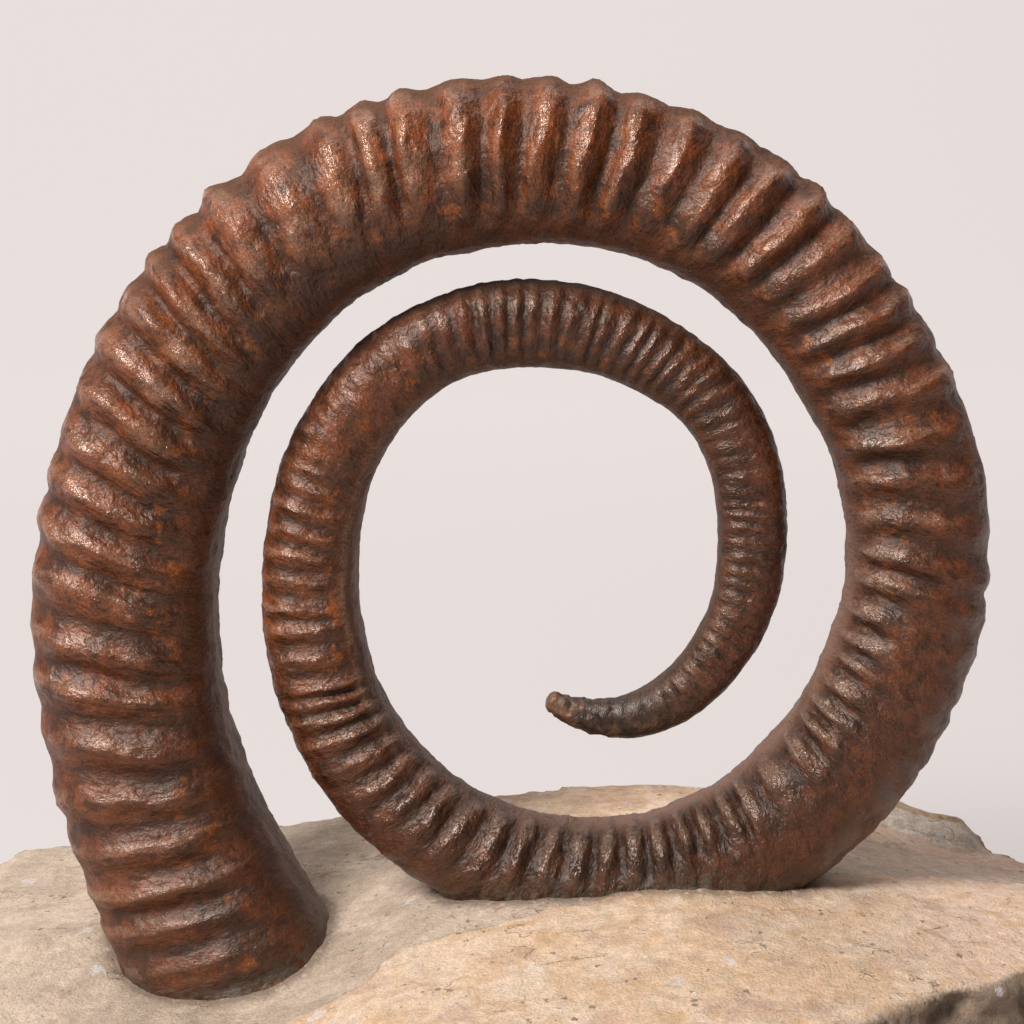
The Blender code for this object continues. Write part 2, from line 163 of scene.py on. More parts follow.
# ---- the stone -------------------------------------------------------------------------
STONE_LENGTH = 0.290
STONE_DEPTH = 0.167
STONE_OUTLINE = (  # corners of the block's plan, from the left end round by the front
    (-0.144, -0.022), (-0.137, -0.058), (-0.112, -0.080), (-0.040, -0.084),
    (0.022, -0.085), (0.060, -0.083), (0.072, -0.072), (0.083, -0.061),
    (0.106, -0.047), (0.120, -0.036), (0.143, -0.020), (0.145, 0.030),
    (0.142, 0.062), (0.131, 0.078), (0.110, 0.082), (0.040, 0.083), (-0.036, 0.082),
    (-0.098, 0.083), (-0.140, 0.082), (-0.145, 0.068))
CROWN_HEIGHT = 0.0650
CROWN_X = 0.042
DOME_SLOPE = 0.135
DOME_ROUND = 0.030
FRONT_SLOPE = 0.13
FRONT_SLOPE_START = -0.015
BACK_SLOPE = 0.044
FOOT_HOLLOW_SLOPE = 0.28
FOOT_HOLLOW_DEPTH = 0.012
FOOT_HOLLOW_LEFT = -0.070
FOOT_HOLLOW_RIGHT = -0.018
FOOT_DIP_MIDDLE = (-0.062, -0.006)
FOOT_DIP_SPAN = (0.022, 0.044)
FOOT_DIP_DEPTH = 0.0034
LEFT_RISE = 0.0030
LEFT_RISE_SPAN = (-0.075, -0.145)
LEFT_HOLLOW = 0.0012
LEFT_HOLLOW_SPAN = (0.0, -0.050)
BACK_CORNER_SLOPE = 0.11
BACK_CORNER_SPAN = (0.085, 0.125)
LEDGE_FRONT = 0.066  # the broken layer starts behind this line
LEDGE_RISE = (0.0054, 0.0086)  # at the two ends
LEDGE_FACE = (-0.0005, 0.0090)
LEDGE_ENDS = (0.082, 0.096, 0.1292)  # it rises between the first two and ends at the third
LEDGE_END_WIDTH = 0.0035
PREPARED_LINE = (  # the stone was cut down behind this line in plan
    (-0.150, -0.060), (-0.060, -0.050), (-0.034, -0.040), (-0.026, -0.030),
    (-0.005, -0.024), (0.027, -0.015), (0.045, -0.011), (0.060, -0.008),
    (0.087, 0.007), (0.150, 0.030))
RIM_ROLL_SIDE = Vector((-0.6, -0.8))
RIM_DROP = 0.0065
SIDE_BREAKS = (0.0026, 0.0042, 0.0020)  # heights of the rough, faceted and chipped breaks
SIDE_LIMIT = 0.003  # how far the breaks may stand out past the block's size
CREEP = 0.0006  # the matrix rises this much where it meets the shell
CUT_STEP = 0.00045
LUMP_SIZE = 0.034
LUMP_HEIGHT = 0.0011
LUMP_PATTERN = 0.3
SIDE_RINGS = 14
STONE_CELLS = (96, 56)
STONE_VOXEL = 0.0014


# ---- helpers ---------------------------------------------------------------------------
def station_value(table, angle):
    """Read a station table at many angles, on a smooth curve through its values."""
    table = np.array(table)
    slopes = np.gradient(table)
    place = (angle - STATION_START) / STATION_STEP
    index = np.clip(place.astype(int), 0, len(table) - 2)
    t = place - index
    return ((1 + 2 * t) * (1 - t) ** 2 * table[index] + t * (1 - t) ** 2 * slopes[index]
            + t * t * (3 - 2 * t) * table[index + 1] + t * t * (t - 1) * slopes[index + 1])


def smooth_step(low, high, value):
    """0 below low, 1 above high, and an even curve between."""
    t = np.clip((value - low) / (high - low), 0.0, 1.0)
    return t * t * (3 - 2 * t)


def noise_at(points, size, pattern=0.0):
    """Soft noise from -1 to 1 at many points; size is a length, or one for each axis."""
    scaled = points / np.array(size) + pattern
    return np.array([noise.noise(point) for point in scaled.tolist()])


def rough_noise_at(points, size, octaves, pattern=0.0):
    """Noise with smaller noise on top of it, from about -1 to 1."""
    scaled = points / np.array(size) + pattern
    return np.array([noise.fractal(point, 0.8, 2.1, octaves) for point in scaled.tolist()])


def cells_at(points, size):
    """Distance to the nearest of many scattered points, as a share of the size."""
    scaled = points / np.array(size)
    return np.array([noise.voronoi(point)[0][0] for point in scaled.tolist()])


def deselect_all():
    """Leave nothing selected, so that an operator acts on the new piece alone."""
    bpy.ops.object.select_all(action="DESELECT")


def select_edges(item, chosen):
    """Select the edges of a mesh whose two ends pass a test, and open it for editing."""
    bpy.context.tool_settings.mesh_select_mode = (False, True, False)
    bpy.ops.object.mode_set(mode="EDIT")
    bpy.ops.mesh.select_all(action="DESELECT")
    bpy.ops.object.mode_set(mode="OBJECT")
    corners = item.data.vertices
    for bar in item.data.edges:
        bar.select = chosen(*(corners[number].co for number in bar.vertices))
    bpy.ops.object.mode_set(mode="EDIT")


def vertex_places(item):
    """The places of all of a mesh's corners, as rows."""
    places = np.empty(len(item.data.vertices) * 3)
    item.data.vertices.foreach_get("co", places)
    return places.reshape(-1, 3)


def move_vertices(item, places):
    """Put a mesh's corners at new places."""
    item.data.vertices.foreach_set("co", places.ravel())
    item.data.update()


def vertex_normals(item):
    """The normals at all of a mesh's corners, as rows."""
    normals = np.empty(len(item.data.vertices) * 3)
    item.data.vertex_normals.foreach_get("vector", normals)
    return normals.reshape(-1, 3)


def store(item, name, values):
    """Keep a number, or a place, for each corner under a name that materials can read."""
    kind = "FLOAT_VECTOR" if values.ndim == 2 else "FLOAT"
    field = "vector" if values.ndim == 2 else "value"
    item.data.attributes.new(name, kind, "POINT").data.foreach_set(field, values.ravel())


# ---- the shell's form ------------------------------------------------------------------
def coil_frame(angle):
    """The tube's inner edge at many angles, and the way outwards there."""
    turn = np.radians(angle)
    spoke = np.stack([np.cos(turn), np.zeros_like(turn), np.sin(turn)], axis=-1)
    radius = station_value(INNER_RADIUS, angle)
    step = 0.5
    change = station_value(INNER_RADIUS, angle + step) - station_value(INNER_RADIUS, angle - step)
    slope = change / math.radians(2 * step)
    growth = np.stack([-spoke[..., 2], np.zeros_like(turn), spoke[..., 0]], axis=-1)
    growth = growth * radius[..., None] + spoke * slope[..., None]
    growth /= np.linalg.norm(growth, axis=-1, keepdims=True)
    outwards = np.stack([growth[..., 2], np.zeros_like(turn), -growth[..., 0]], axis=-1)
    return np.array(COIL_CENTRE) + spoke * radius[..., None], outwards


def section_radius(angle, around):
    """Distance from the tube's middle to its skin, for a tube one unit high."""
    inner_share = (1 - np.cos(around)) / 2
    inner_power = np.interp(angle, SQUARENESS_ANGLES, INNER_SQUARENESS)
    power = OUTER_SQUARENESS + (inner_power - OUTER_SQUARENESS) * inner_share
    up = np.abs(np.cos(around) * 2) ** power
    side = np.abs(np.sin(around) * 2 / WIDTH_TO_HEIGHT) ** power
    return (up + side) ** (-1 / power)


def rib_share(angle, around, edge_strength):
    """1 where ribs stand at full height on the flanks, 0 on the smooth inner edge."""
    degrees = np.abs(np.degrees(around))
    faded = degrees + BACK_FADE * (around < 0) * (degrees > 90)
    outer = np.interp(angle, RIB_ANGLES, OUTER_EDGE_SHARES) * edge_strength
    reach = np.interp(angle, RIB_ANGLES, OUTER_EDGE_REACHES)
    start = reach * np.interp(angle, RIB_ANGLES, OUTER_EDGE_STARTS)
    flank = outer + (1 - outer) * smooth_step(start, reach, degrees)
    fade_start = np.interp(angle, RIB_ANGLES, RIB_FADE_STARTS)
    fade_end = np.interp(angle, RIB_ANGLES, RIB_FADE_ENDS)
    return flank * (1 - smooth_step(fade_start, fade_end, faded))


def lumpiness(angle):
    """1 where the skin is beaten into lumps, 0 elsewhere."""
    lumpy = np.zeros_like(angle)
    for middle, reach, share in LUMPY_PLACES:
        away = np.abs(angle - middle)
        lumpy = np.maximum(lumpy, share * (1 - smooth_step(WORN_THROUGH * reach, reach, away)))
    return lumpy


def wear(angle):
    """Share of a rib's height that is left at an angle."""
    left = smooth_step(SMOOTH_TIP_END - SMOOTH_TIP_BLEND, SMOOTH_TIP_END + SMOOTH_TIP_BLEND, angle)
    for middle, reach, worn in WORN_PLACES:
        away = np.abs(angle - middle)
        left = left * (1 - worn * (1 - smooth_step(WORN_THROUGH * reach, reach, away)))
    return left


def lag(angle, around):
    """How many degrees of turn the skin of a leaning ring lies behind its mid flank."""
    height = station_value(TUBE_HEIGHT, angle)
    middle_radius = station_value(INNER_RADIUS, angle) + height / 2
    lean = np.tan(np.radians(station_value(RIB_LEAN, angle)))
    behind = lean * height / math.pi * np.sin(np.cos(around) * math.pi / 2)
    return np.degrees(behind / middle_radius)


def rib_profile(phase, angle):
    """Height across one rib, 1 on its crest and -1 in the furrows at phase -0.5 and 0.5."""
    roundness = np.interp(angle, RIB_ROUNDNESS_ANGLES, RIB_ROUNDNESS)
    wave = np.cos(2 * math.pi * phase)
    ridge = 1 - 4 * np.abs(phase)
    return roundness * wave + (1 - roundness) * ridge


def shape_shell(item):
    """Lay a straight tube along the coil and raise its ribs, wrinkles and pits."""
    straight = vertex_places(item)
    share = straight[:, 2]
    around = np.arctan2(straight[:, 1], straight[:, 0])
    count = TIP_COUNT + share * (FOOT_COUNT - TIP_COUNT)
    counts = np.concatenate([[TIP_COUNT], np.arange(1, len(RIB_CRESTS) + 1), [FOOT_COUNT]])
    angles = np.concatenate([[TIP_ANGLE], RIB_CRESTS, [FOOT_ANGLE]])
    angle = np.interp(count, counts, angles)
    place = angle - lag(angle, around)
    edge, outwards = coil_frame(place)
    height = station_value(TUBE_HEIGHT, place)

    fine = np.linspace(TIP_ANGLE, FOOT_ANGLE, 4000)
    inner_line, outward_line = coil_frame(fine)
    middle = inner_line + outward_line * station_value(TUBE_HEIGHT, fine)[:, None] / 2
    run = np.concatenate([[0.0], np.cumsum(np.linalg.norm(np.diff(middle, axis=0), axis=1))])
    along = np.interp(angle, fine, run)
    tube = np.stack([along, height / 2 * np.cos(around), height / 2 * np.sin(around)], axis=1)

    chance = random.Random(11)
    crests = np.arange(int(FOOT_COUNT) + 8)
    strengths = [1 + chance.uniform(-RIB_UNEVENNESS, RIB_UNEVENNESS) for _ in crests]
    edge_strengths = [1 + chance.uniform(-EDGE_UNEVENNESS, EDGE_UNEVENNESS) for _ in crests]
    nearest = np.round(count).astype(int)
    strength = np.interp(count + 8, crests, strengths)
    edge_strength = np.interp(count + 8, crests, edge_strengths)
    sway = 0.20 * noise_at(tube, (0.004, 0.008, 0.008), 3.1)
    sway += 0.10 * rough_noise_at(tube, (0.003, 0.0032, 0.0032), 2, 1.9)
    phase = np.clip(count - nearest + sway * (0.5 - np.abs(count - nearest)) * 2, -0.5, 0.5)
    relief = rib_profile(phase, angle)
    patchy = 1 + 0.35 * noise_at(tube, (0.006, 0.012, 0.012), 9.7)
    standing = rib_share(angle, around, edge_strength) * wear(angle)
    depth = height * np.interp(angle, RIB_ANGLES, RIB_DEPTHS)
    ribs = depth / 2 * relief * strength * patchy * standing

    size = SMALL_TUBE_SHARE + (1 - SMALL_TUBE_SHARE) * smooth_step(*SMALL_TUBE, height)
    degrees = np.abs(np.degrees(around))
    inner_start = np.interp(angle, RIB_ANGLES, RIB_FADE_STARTS)
    inner_end = np.interp(angle, RIB_ANGLES, RIB_FADE_ENDS)
    inner = smooth_step(inner_start + 6, inner_end + 4, degrees)
    lumps = LUMPS[0] * size * noise_at(tube, LUMPS[1], 1.3)
    dents = DENTS[0] * size * rough_noise_at(tube, DENTS[1], 3, 5.2)
    beaten = 1 - 2.2 * np.abs(noise_at(tube, BEATEN[1], 6.6))
    beaten = BEATEN[0] * beaten * lumpiness(angle) * size
    beaten *= 1 - smooth_step(*BEATEN_AROUND, degrees)
    wrinkles = rough_noise_at(tube, WRINKLES[1], 3, 2.4)
    wrinkles = WRINKLES[0] * size * (1 - 2 * np.abs(wrinkles)) * (1 - 0.7 * inner)
    threads = THREADS[0] * size * rough_noise_at(tube, THREADS[1], 2, 7.7) * inner
    seam_line = np.interp(angle, SEAM_ANGLES, SEAM_AROUNDS)
    seam_line = seam_line + 3.5 * noise_at(tube * (1, 0, 0), 0.012, 8.2)
    seam = np.exp(-((degrees - seam_line) / SEAM_WIDTH) ** 2)
    seam *= np.interp(angle, SEAM_ANGLES, SEAM_STRENGTHS)
    threads += SEAM_HEIGHT * size * seam
    # the rib ends at these places are wrinkled, and the finish paints a highlight on them
    knob = (degrees - np.interp(angle, KNOB_ANGLES, KNOB_AROUNDS)) / KNOB_WIDTH
    knob = np.exp(-knob ** 2) * np.interp(angle, KNOB_ANGLES, KNOB_STRENGTHS) * (around > 0)
    creased = 1 - 2.4 * np.abs(noise_at(tube, (0.0030, 0.0034, 0.0034), 4.6))
    beaten += KNOB_WRINKLES * size * knob * creased
    tip_dents = rough_noise_at(tube, 0.0022, 2, 7.1) * (1 - smooth_step(*TIP_DENTS_END, angle))
    dents += TIP_DENTS * tip_dents
    flare = FOOT_FLARE * smooth_step(*FOOT_FLARE_SPAN, angle) * (0.7 - 0.3 * np.cos(around))
    rise = ribs + lumps + dents + beaten + wrinkles + threads + flare

    tip_reach = np.clip((along - along.min()) / TIP_LENGTH, 0.0, 1.0)
    rounding = np.sqrt(1 - (1 - tip_reach) ** 2) * (1 - TIP_BLUNTNESS) + TIP_BLUNTNESS
    radius = (height * section_radius(angle, around) + rise) * rounding
    skin = edge + outwards * (height / 2 + radius * np.cos(around))[:, None]
    skin[:, 1] -= radius * np.sin(around)
    move_vertices(item, skin)

    store(item, "tube_place", tube)
    store(item, "relief", relief * standing)
    store(item, "inner_edge", inner)
    store(item, "seam", seam)
    store(item, "knob", knob * smooth_step(-0.3, 0.3, relief))
    store(item, "outer_edge", 1 - smooth_step(*OUTER_EDGE_AROUND, degrees))
    store(item, "growth", (angle - TIP_ANGLE) / (FOOT_ANGLE - TIP_ANGLE))
    inner_dark = 1 - np.interp(angle, INNER_TONE_ANGLES, INNER_TONES)
    inner_dark *= smooth_step(*INNER_TONE_SPAN, degrees + 14 * noise_at(tube, 0.012, 3.7))
    store(item, "tone", np.interp(angle, TONE_ANGLES, TONES) * (1 - inner_dark))
    store(item, "matt", np.interp(angle, TONE_ANGLES, MATT_SHARES))
    store(item, "warmth", np.interp(angle, WARMTH_ANGLES, WARMTHS))
    store(item, "pale_edge", inner * np.interp(angle, PALE_EDGE_ANGLES, (0, 1, 1, 0)))
    film = 1 - smooth_step(*FILM_AROUND, degrees)
    store(item, "film", film * np.interp(angle, FILM_ANGLES, (0, 1, 1, 0)))
    store(item, "shade_band", np.exp(-((degrees - SHADE_BAND[0]) / SHADE_BAND[1]) ** 2))


def make_shell():
    """The whole ammonite: one ribbed tube from its blunt tip to its buried foot."""
    deselect_all()
    bpy.ops.mesh.primitive_cylinder_add(
        vertices=SHELL_SIDES, radius=1.0, depth=1.0, location=(0.0, 0.0, 0.5))
    shell = bpy.context.active_object
    shell.name = "ammonite_shell_skin"
    bpy.ops.object.transform_apply(location=True, rotation=False, scale=False)
    for cuts in SHELL_CUTS:
        select_edges(shell, lambda first, second: abs(first.z - second.z) > 0.1)
        bpy.ops.mesh.subdivide_edgering(number_cuts=cuts, interpolation="LINEAR")
        bpy.ops.object.mode_set(mode="OBJECT")
    shape_shell(shell)
    bpy.ops.object.mode_set(mode="EDIT")
    bpy.ops.mesh.select_all(action="SELECT")
    bpy.ops.mesh.normals_make_consistent(inside=False)
    bpy.ops.mesh.bisect(plane_co=(0.0, 0.0, FOOT_CUT_HEIGHT), plane_no=(0.0, 0.0, 1.0),
                        use_fill=True, clear_inner=True)
    bpy.ops.object.mode_set(mode="OBJECT")
    bpy.ops.object.shade_smooth()
    return shell


# ---- the stone's form ------------------------------------------------------------------
def outline_reach(directions):
    """Distance from the middle of the block to its outline in many directions of the plan."""
    best = np.zeros(len(directions))
    for start, end in zip(STONE_OUTLINE, STONE_OUTLINE[1:] + STONE_OUTLINE[:1]):
        side = (end[0] - start[0], end[1] - start[1])
        cross = directions[:, 0] * side[1] - directions[:, 1] * side[0]
        cross = np.where(np.abs(cross) < 1e-9, 1e-9, cross)
        reach = (start[0] * side[1] - start[1] * side[0]) / cross
        share = (start[0] * directions[:, 1] - start[1] * directions[:, 0]) / cross
        hit = (reach > 0) & (share >= -1e-6) & (share <= 1 + 1e-6)
        best = np.where(hit, np.maximum(best, reach), best)
    return best


def ledge_share(x, y):
    """1 on the layer that is left standing at the back right, 0 on the ground before it."""
    plan = np.stack([x, y, np.zeros_like(x)], axis=1)
    behind = y - LEDGE_FRONT + 0.0016 * rough_noise_at(plan, 0.008, 3, 3.3)
    right_end = np.clip((x - LEDGE_ENDS[2]) / LEDGE_END_WIDTH, 0.0, 1.0)
    ends = smooth_step(*LEDGE_ENDS[:2], x) * (1 - right_end)
    return ends * smooth_step(*LEDGE_FACE, behind)


def stone_top(x, y):
    """Height of the block's upper surface."""
    height = CROWN_HEIGHT - DOME_SLOPE * (np.hypot(x - CROWN_X, DOME_ROUND) - DOME_ROUND)
    height -= FRONT_SLOPE * np.maximum(FRONT_SLOPE_START - y, 0.0)
    height -= BACK_SLOPE * np.maximum(y, 0.0)
    fall = FOOT_HOLLOW_SLOPE * np.maximum(-y, 0.0)
    fall = FOOT_HOLLOW_DEPTH * (1 - np.exp(-fall / FOOT_HOLLOW_DEPTH))
    height -= fall * (1 - smooth_step(FOOT_HOLLOW_LEFT, FOOT_HOLLOW_RIGHT, x))
    height += LEFT_RISE * smooth_step(*LEFT_RISE_SPAN, x)
    height -= LEFT_HOLLOW * smooth_step(*LEFT_HOLLOW_SPAN, x)
    from_foot = np.hypot(x - FOOT_DIP_MIDDLE[0], y - FOOT_DIP_MIDDLE[1])
    height -= FOOT_DIP_DEPTH * (1 - smooth_step(*FOOT_DIP_SPAN, from_foot))
    height -= BACK_CORNER_SLOPE * np.maximum(y, 0.0) * smooth_step(*BACK_CORNER_SPAN, x)
    plan = np.stack([x, y, np.full_like(x, LUMP_PATTERN)], axis=1)
    ledge = np.interp(x, LEDGE_ENDS[::2], LEDGE_RISE) * ledge_share(x, y)
    return height + LUMP_HEIGHT * noise_at(plan, LUMP_SIZE) + ledge


def make_stone(shell):
    """The limestone block, with its matrix drawn up around the shell."""
    deselect_all()
    bpy.ops.mesh.primitive_grid_add(
        x_subdivisions=STONE_CELLS[0], y_subdivisions=STONE_CELLS[1], size=2.0)
    stone = bpy.context.active_object
    stone.name = "limestone_block_skin"
    places = vertex_places(stone)
    share = np.maximum(np.abs(places[:, 0]), np.abs(places[:, 1]))
    ways = places[:, :2] * (STONE_LENGTH, STONE_DEPTH)
    ways /= np.maximum(np.linalg.norm(ways, axis=1, keepdims=True), 1e-9)
    places[:, :2] = ways * (outline_reach(ways) * share)[:, None]
    places[:, 2] = stone_top(places[:, 0], places[:, 1])
    roll = smooth_step(0, 1, ways @ np.array(RIM_ROLL_SIDE)) * smooth_step(0.93, 1.0, share)
    places[:, 2] -= RIM_DROP * roll
    move_vertices(stone, places)

    bpy.ops.object.mode_set(mode="EDIT")
    bpy.context.tool_settings.mesh_select_mode = (True, False, False)
    for ring in range(SIDE_RINGS):
        bpy.ops.mesh.select_all(action="DESELECT")
        bpy.ops.mesh.select_non_manifold(
            extend=False, use_wire=False, use_multi_face=False, use_non_contiguous=False,
            use_verts=False)
        if ring == 0:
            bpy.ops.mesh.extrude_region_move(TRANSFORM_OT_translate={"value": (0, 0, -1e-4)})
        else:
            bpy.ops.mesh.extrude_region_move()
        bpy.ops.transform.resize(
            value=(1.0, 1.0, 1 - 1 / (SIDE_RINGS + 1 - ring)), center_override=(0.0, 0.0, 0.0))
    bpy.ops.mesh.edge_face_add()
    bpy.ops.mesh.select_all(action="SELECT")
    bpy.ops.mesh.normals_make_consistent(inside=False)
    bpy.ops.object.mode_set(mode="OBJECT")

    remesh = stone.modifiers.new("even_mesh", "REMESH")
    remesh.mode = "VOXEL"
    remesh.voxel_size = STONE_VOXEL
    bpy.ops.object.modifier_apply(modifier="even_mesh")
    carve_stone(stone, shell)
    bpy.ops.object.shade_smooth()
    return stone


def carve_stone(stone, shell):
    """Roughen the broken sides, grain the top and draw the matrix up to the shell."""
    places = vertex_places(stone)
    normals = vertex_normals(stone)
    x, y = places[:, 0], places[:, 1]
    top = smooth_step(0.25, 0.75, normals[:, 2])
    under = smooth_step(0.6, 0.95, -normals[:, 2])
    side = (1 - top) * (1 - under)

    shell_tree = BVHTree.FromObject(shell, bpy.context.evaluated_depsgraph_get())
    away = np.full(len(places), 1.0)
    for number in np.nonzero((normals[:, 2] > 0.2) & (np.abs(y) < 0.06))[0]:
        away[number] = shell_tree.find_nearest(Vector(places[number]))[3]

    prepared = prepared_share(x, y)
    broken = rough_noise_at(places, (0.016, 0.016, 0.011), 4, 1.7)
    facets = cells_at(places, 0.013) - 0.45
    chips = cells_at(places, (0.009, 0.009, 0.005)) - 0.45
    rough = SIDE_BREAKS[0] * broken + SIDE_BREAKS[1] * facets + SIDE_BREAKS[2] * chips
    grain = 0.00022 * rough_noise_at(places, 0.0045, 3, 4.4)
    grain += 0.00035 * noise_at(places, (0.012, 0.009, 0.009), 8.8)
    creep = CREEP * np.exp(-away / 0.0030) * (1 + 0.5 * noise_at(places, 0.005, 6.1))
    places += normals * (side * rough + top * grain)[:, None]
    places[:, 2] += top * (creep - CUT_STEP * prepared)
    floor = smooth_step(0.0, 0.004, places[:, 2])
    places[:, 2] = np.where(under > 0.5, 0.0, np.maximum(places[:, 2], 0.0) * floor)
    for axis, size in ((0, STONE_LENGTH), (1, STONE_DEPTH)):
        reach = size / 2 + SIDE_LIMIT
        places[:, axis] = np.clip(places[:, axis], -reach, reach)
    move_vertices(stone, places)
    store(stone, "prepared", prepared)
    store(stone, "side", side)
    store(stone, "contact", np.exp(-away / 0.0028))
    store(stone, "ledge", ledge_share(x, y) * (1 - under))


def prepared_share(x, y):
    """1 where the stone was cut down around the fossil, 0 on its natural skin."""
    line = np.interp(x, *zip(*PREPARED_LINE))
    plan = np.stack([x, y, np.zeros_like(x)], axis=1)
    line = line + 0.0022 * rough_noise_at(plan, 0.009, 3, 2.2)
    back = 0.046 + 0.006 * noise_at(plan, 0.020, 7.0) + 0.060 * smooth_step(-0.020, -0.070, x)
    return smooth_step(-0.0006, 0.0006, y - line) * (1 - smooth_step(-0.003, 0.003, y - back))


# ---- finishes --------------------------------------------------------------------------
class Wiring:
    """Adds and joins the nodes of one material or node group."""

    def __init__(self, tree):
        self.tree = tree

    def add(self, kind, settings=None, **sockets):
        """A node with its settings; each socket takes a value or another node's output."""
        node = self.tree.nodes.new("ShaderNode" + kind)
        for name, value in (settings or {}).items():
            setattr(node, name, value)
        for name, value in sockets.items():
            self.join(node, name, value)
        return node

    def join(self, node, name, value):
        """Set or wire one socket, by its name or its number after an underscore."""
        key = int(name[1:]) if name[1:].isdigit() else name.replace("_", " ")
        if isinstance(value, bpy.types.NodeSocket):
            self.tree.links.new(value, node.inputs[key])
        else:
            node.inputs[key].default_value = value

    def field(self, name, vector=False):
        """A value that the mesh stores at its corners."""
        node = self.add("Attribute", {"attribute_name": name})
        return node.outputs["Vector" if vector else "Fac"]

    def maths(self, operation, first, second=0.0):
        node = self.add("Math", {"operation": operation}, _0=first, _1=second)
        return node.outputs[0]

    def mix(self, share, first, second, blend="MIX"):
        node = self.add("Mix", {"data_type": "RGBA", "blend_type": blend},
                        _0=share, _6=first, _7=second)
        return node.outputs[2]

    def times(self, first, *others):
        """The product of masks and numbers."""
        for other in others:
            first = self.maths("MULTIPLY", first, other)
        return first

    def lay(self, under, over, *shares):
        """Lay one colour over another, as far as all of its shares let it."""
        under, over = (colour if isinstance(colour, bpy.types.NodeSocket) else (*colour, 1.0)
                       for colour in (under, over))
        return self.mix(self.times(*shares), under, over)

    def blend(self, share, first, second):
        """A number between two others."""
        return self.add("Mix", {"data_type": "FLOAT"}, _0=share, _2=first, _3=second).outputs[0]

    def spread(self, value, low, high):
        """Stretch a value that runs from 0 to 1, so that it runs from low to high."""
        return self.add("MapRange", Value=value, To_Min=low, To_Max=high).outputs[0]

    def bump(self, height, distance, strength=1.0, over=None):
        """A normal that a height bends, on top of another one where that is given."""
        node = self.add("Bump", Strength=strength, Distance=distance, Height=height)
        if over is not None:
            self.join(node, "Normal", over)
        return node.outputs[0]

    def mask(self, value, low, high, out_low=0.0, out_high=1.0):
        node = self.add("MapRange", {"interpolation_type": "SMOOTHSTEP"}, Value=value,
                        From_Min=low, From_Max=high, To_Min=out_low, To_Max=out_high)
        return node.outputs[0]

    def group(self, group, **sockets):
        """One of the shared effects, with this material's own values."""
        node = self.tree.nodes.new("ShaderNodeGroup")
        node.node_tree = group
        for name, value in sockets.items():
            self.join(node, name, value)
        return node.outputs


def new_group(name, inputs, outputs):
    """An empty node group with named inputs and outputs."""
    group = bpy.data.node_groups.new(name, "ShaderNodeTree")
    for title, kind, value in inputs:
        socket = group.interface.new_socket(
            title, in_out="INPUT", socket_type="NodeSocket" + kind)
        if value is not None:
            socket.default_value = value
    for title, kind in outputs:
        group.interface.new_socket(title, in_out="OUTPUT", socket_type="NodeSocket" + kind)
    entry = group.nodes.new("NodeGroupInput").outputs
    return group, Wiring(group), entry, group.nodes.new("NodeGroupOutput")


def blotches_group():
    """Soft-edged patches; those of one size and pattern share a cloud and render sooner."""
    group, wire, entry, leave = new_group(
        "Blotches",
        (("Place", "Vector", None), ("Size", "Float", 0.01), ("Roughness", "Float", 0.55),
         ("Low", "Float", 0.45), ("High", "Float", 0.6), ("Pattern", "Float", 0.0)),
        (("Mask", "Float"),))
    scale = wire.maths("DIVIDE", 1.0, entry["Size"])
    cloud = wire.add("TexNoise", {"noise_dimensions": "4D"}, Vector=entry["Place"],
                     W=entry["Pattern"], Scale=scale, Detail=3.0,
                     Roughness=entry["Roughness"])
    mask = wire.mask(cloud.outputs["Fac"], entry["Low"], entry["High"])
    group.links.new(mask, leave.inputs["Mask"])
    return group


def specks_group():
    """Small scattered spots, each of its own size."""
    group, wire, entry, leave = new_group(
        "Specks",
        (("Place", "Vector", None), ("Size", "Float", 0.002), ("Share", "Float", 0.3),
         ("Ragged", "Float", 0.3)),
        (("Mask", "Float"),))
    scale = wire.maths("DIVIDE", 1.0, entry["Size"])
    stir = wire.add("TexNoise", Vector=entry["Place"], Scale=wire.times(scale, 3.0), Detail=0.0)
    bent = wire.add("Mix", {"data_type": "VECTOR"}, _0=wire.times(entry["Ragged"], 0.004),
                    _4=entry["Place"], _5=stir.outputs["Color"])
    cells = wire.add("TexVoronoi", Vector=bent.outputs[1], Scale=scale)
    lot = wire.add("SeparateColor", Color=cells.outputs["Color"])
    rare = wire.maths("SUBTRACT", 1.0, entry["Share"])
    reach = wire.mask(lot.outputs["Red"], rare, 1.0, 0.0, 0.42)
    edge = wire.maths("SUBTRACT", reach, cells.outputs["Distance"])
    group.links.new(wire.mask(edge, 0.0, 0.08), leave.inputs["Mask"])
    return group


def grain_group():
    """Fine grain for colour and for the bump's height."""
    group, wire, entry, leave = new_group(
        "Grain",
        (("Place", "Vector", None), ("Size", "Float", 0.0006), ("Roughness", "Float", 0.7)),
        (("Height", "Float"), ("Shade", "Float")))
    scale = wire.maths("DIVIDE", 1.0, entry["Size"])
    fine = wire.add("TexNoise", Vector=entry["Place"], Scale=scale, Detail=4.0,
                    Roughness=entry["Roughness"])
    group.links.new(fine.outputs["Fac"], leave.inputs["Height"])
    group.links.new(wire.mask(fine.outputs["Fac"], 0.3, 0.7), leave.inputs["Shade"])
    return group


def new_material(name, preview):
    """A material with its wiring and its Principled shader."""
    material = bpy.data.materials.new(name)
    material.use_nodes = True
    material.diffuse_color = preview
    shader = material.node_tree.nodes["Principled BSDF"]
    return material, Wiring(material.node_tree), shader


def stretched(wire, place, scale):
    """A place drawn out by different amounts along its three axes."""
    return wire.add("Mapping", {"vector_type": "POINT"}, Vector=place, Scale=scale).outputs[0]
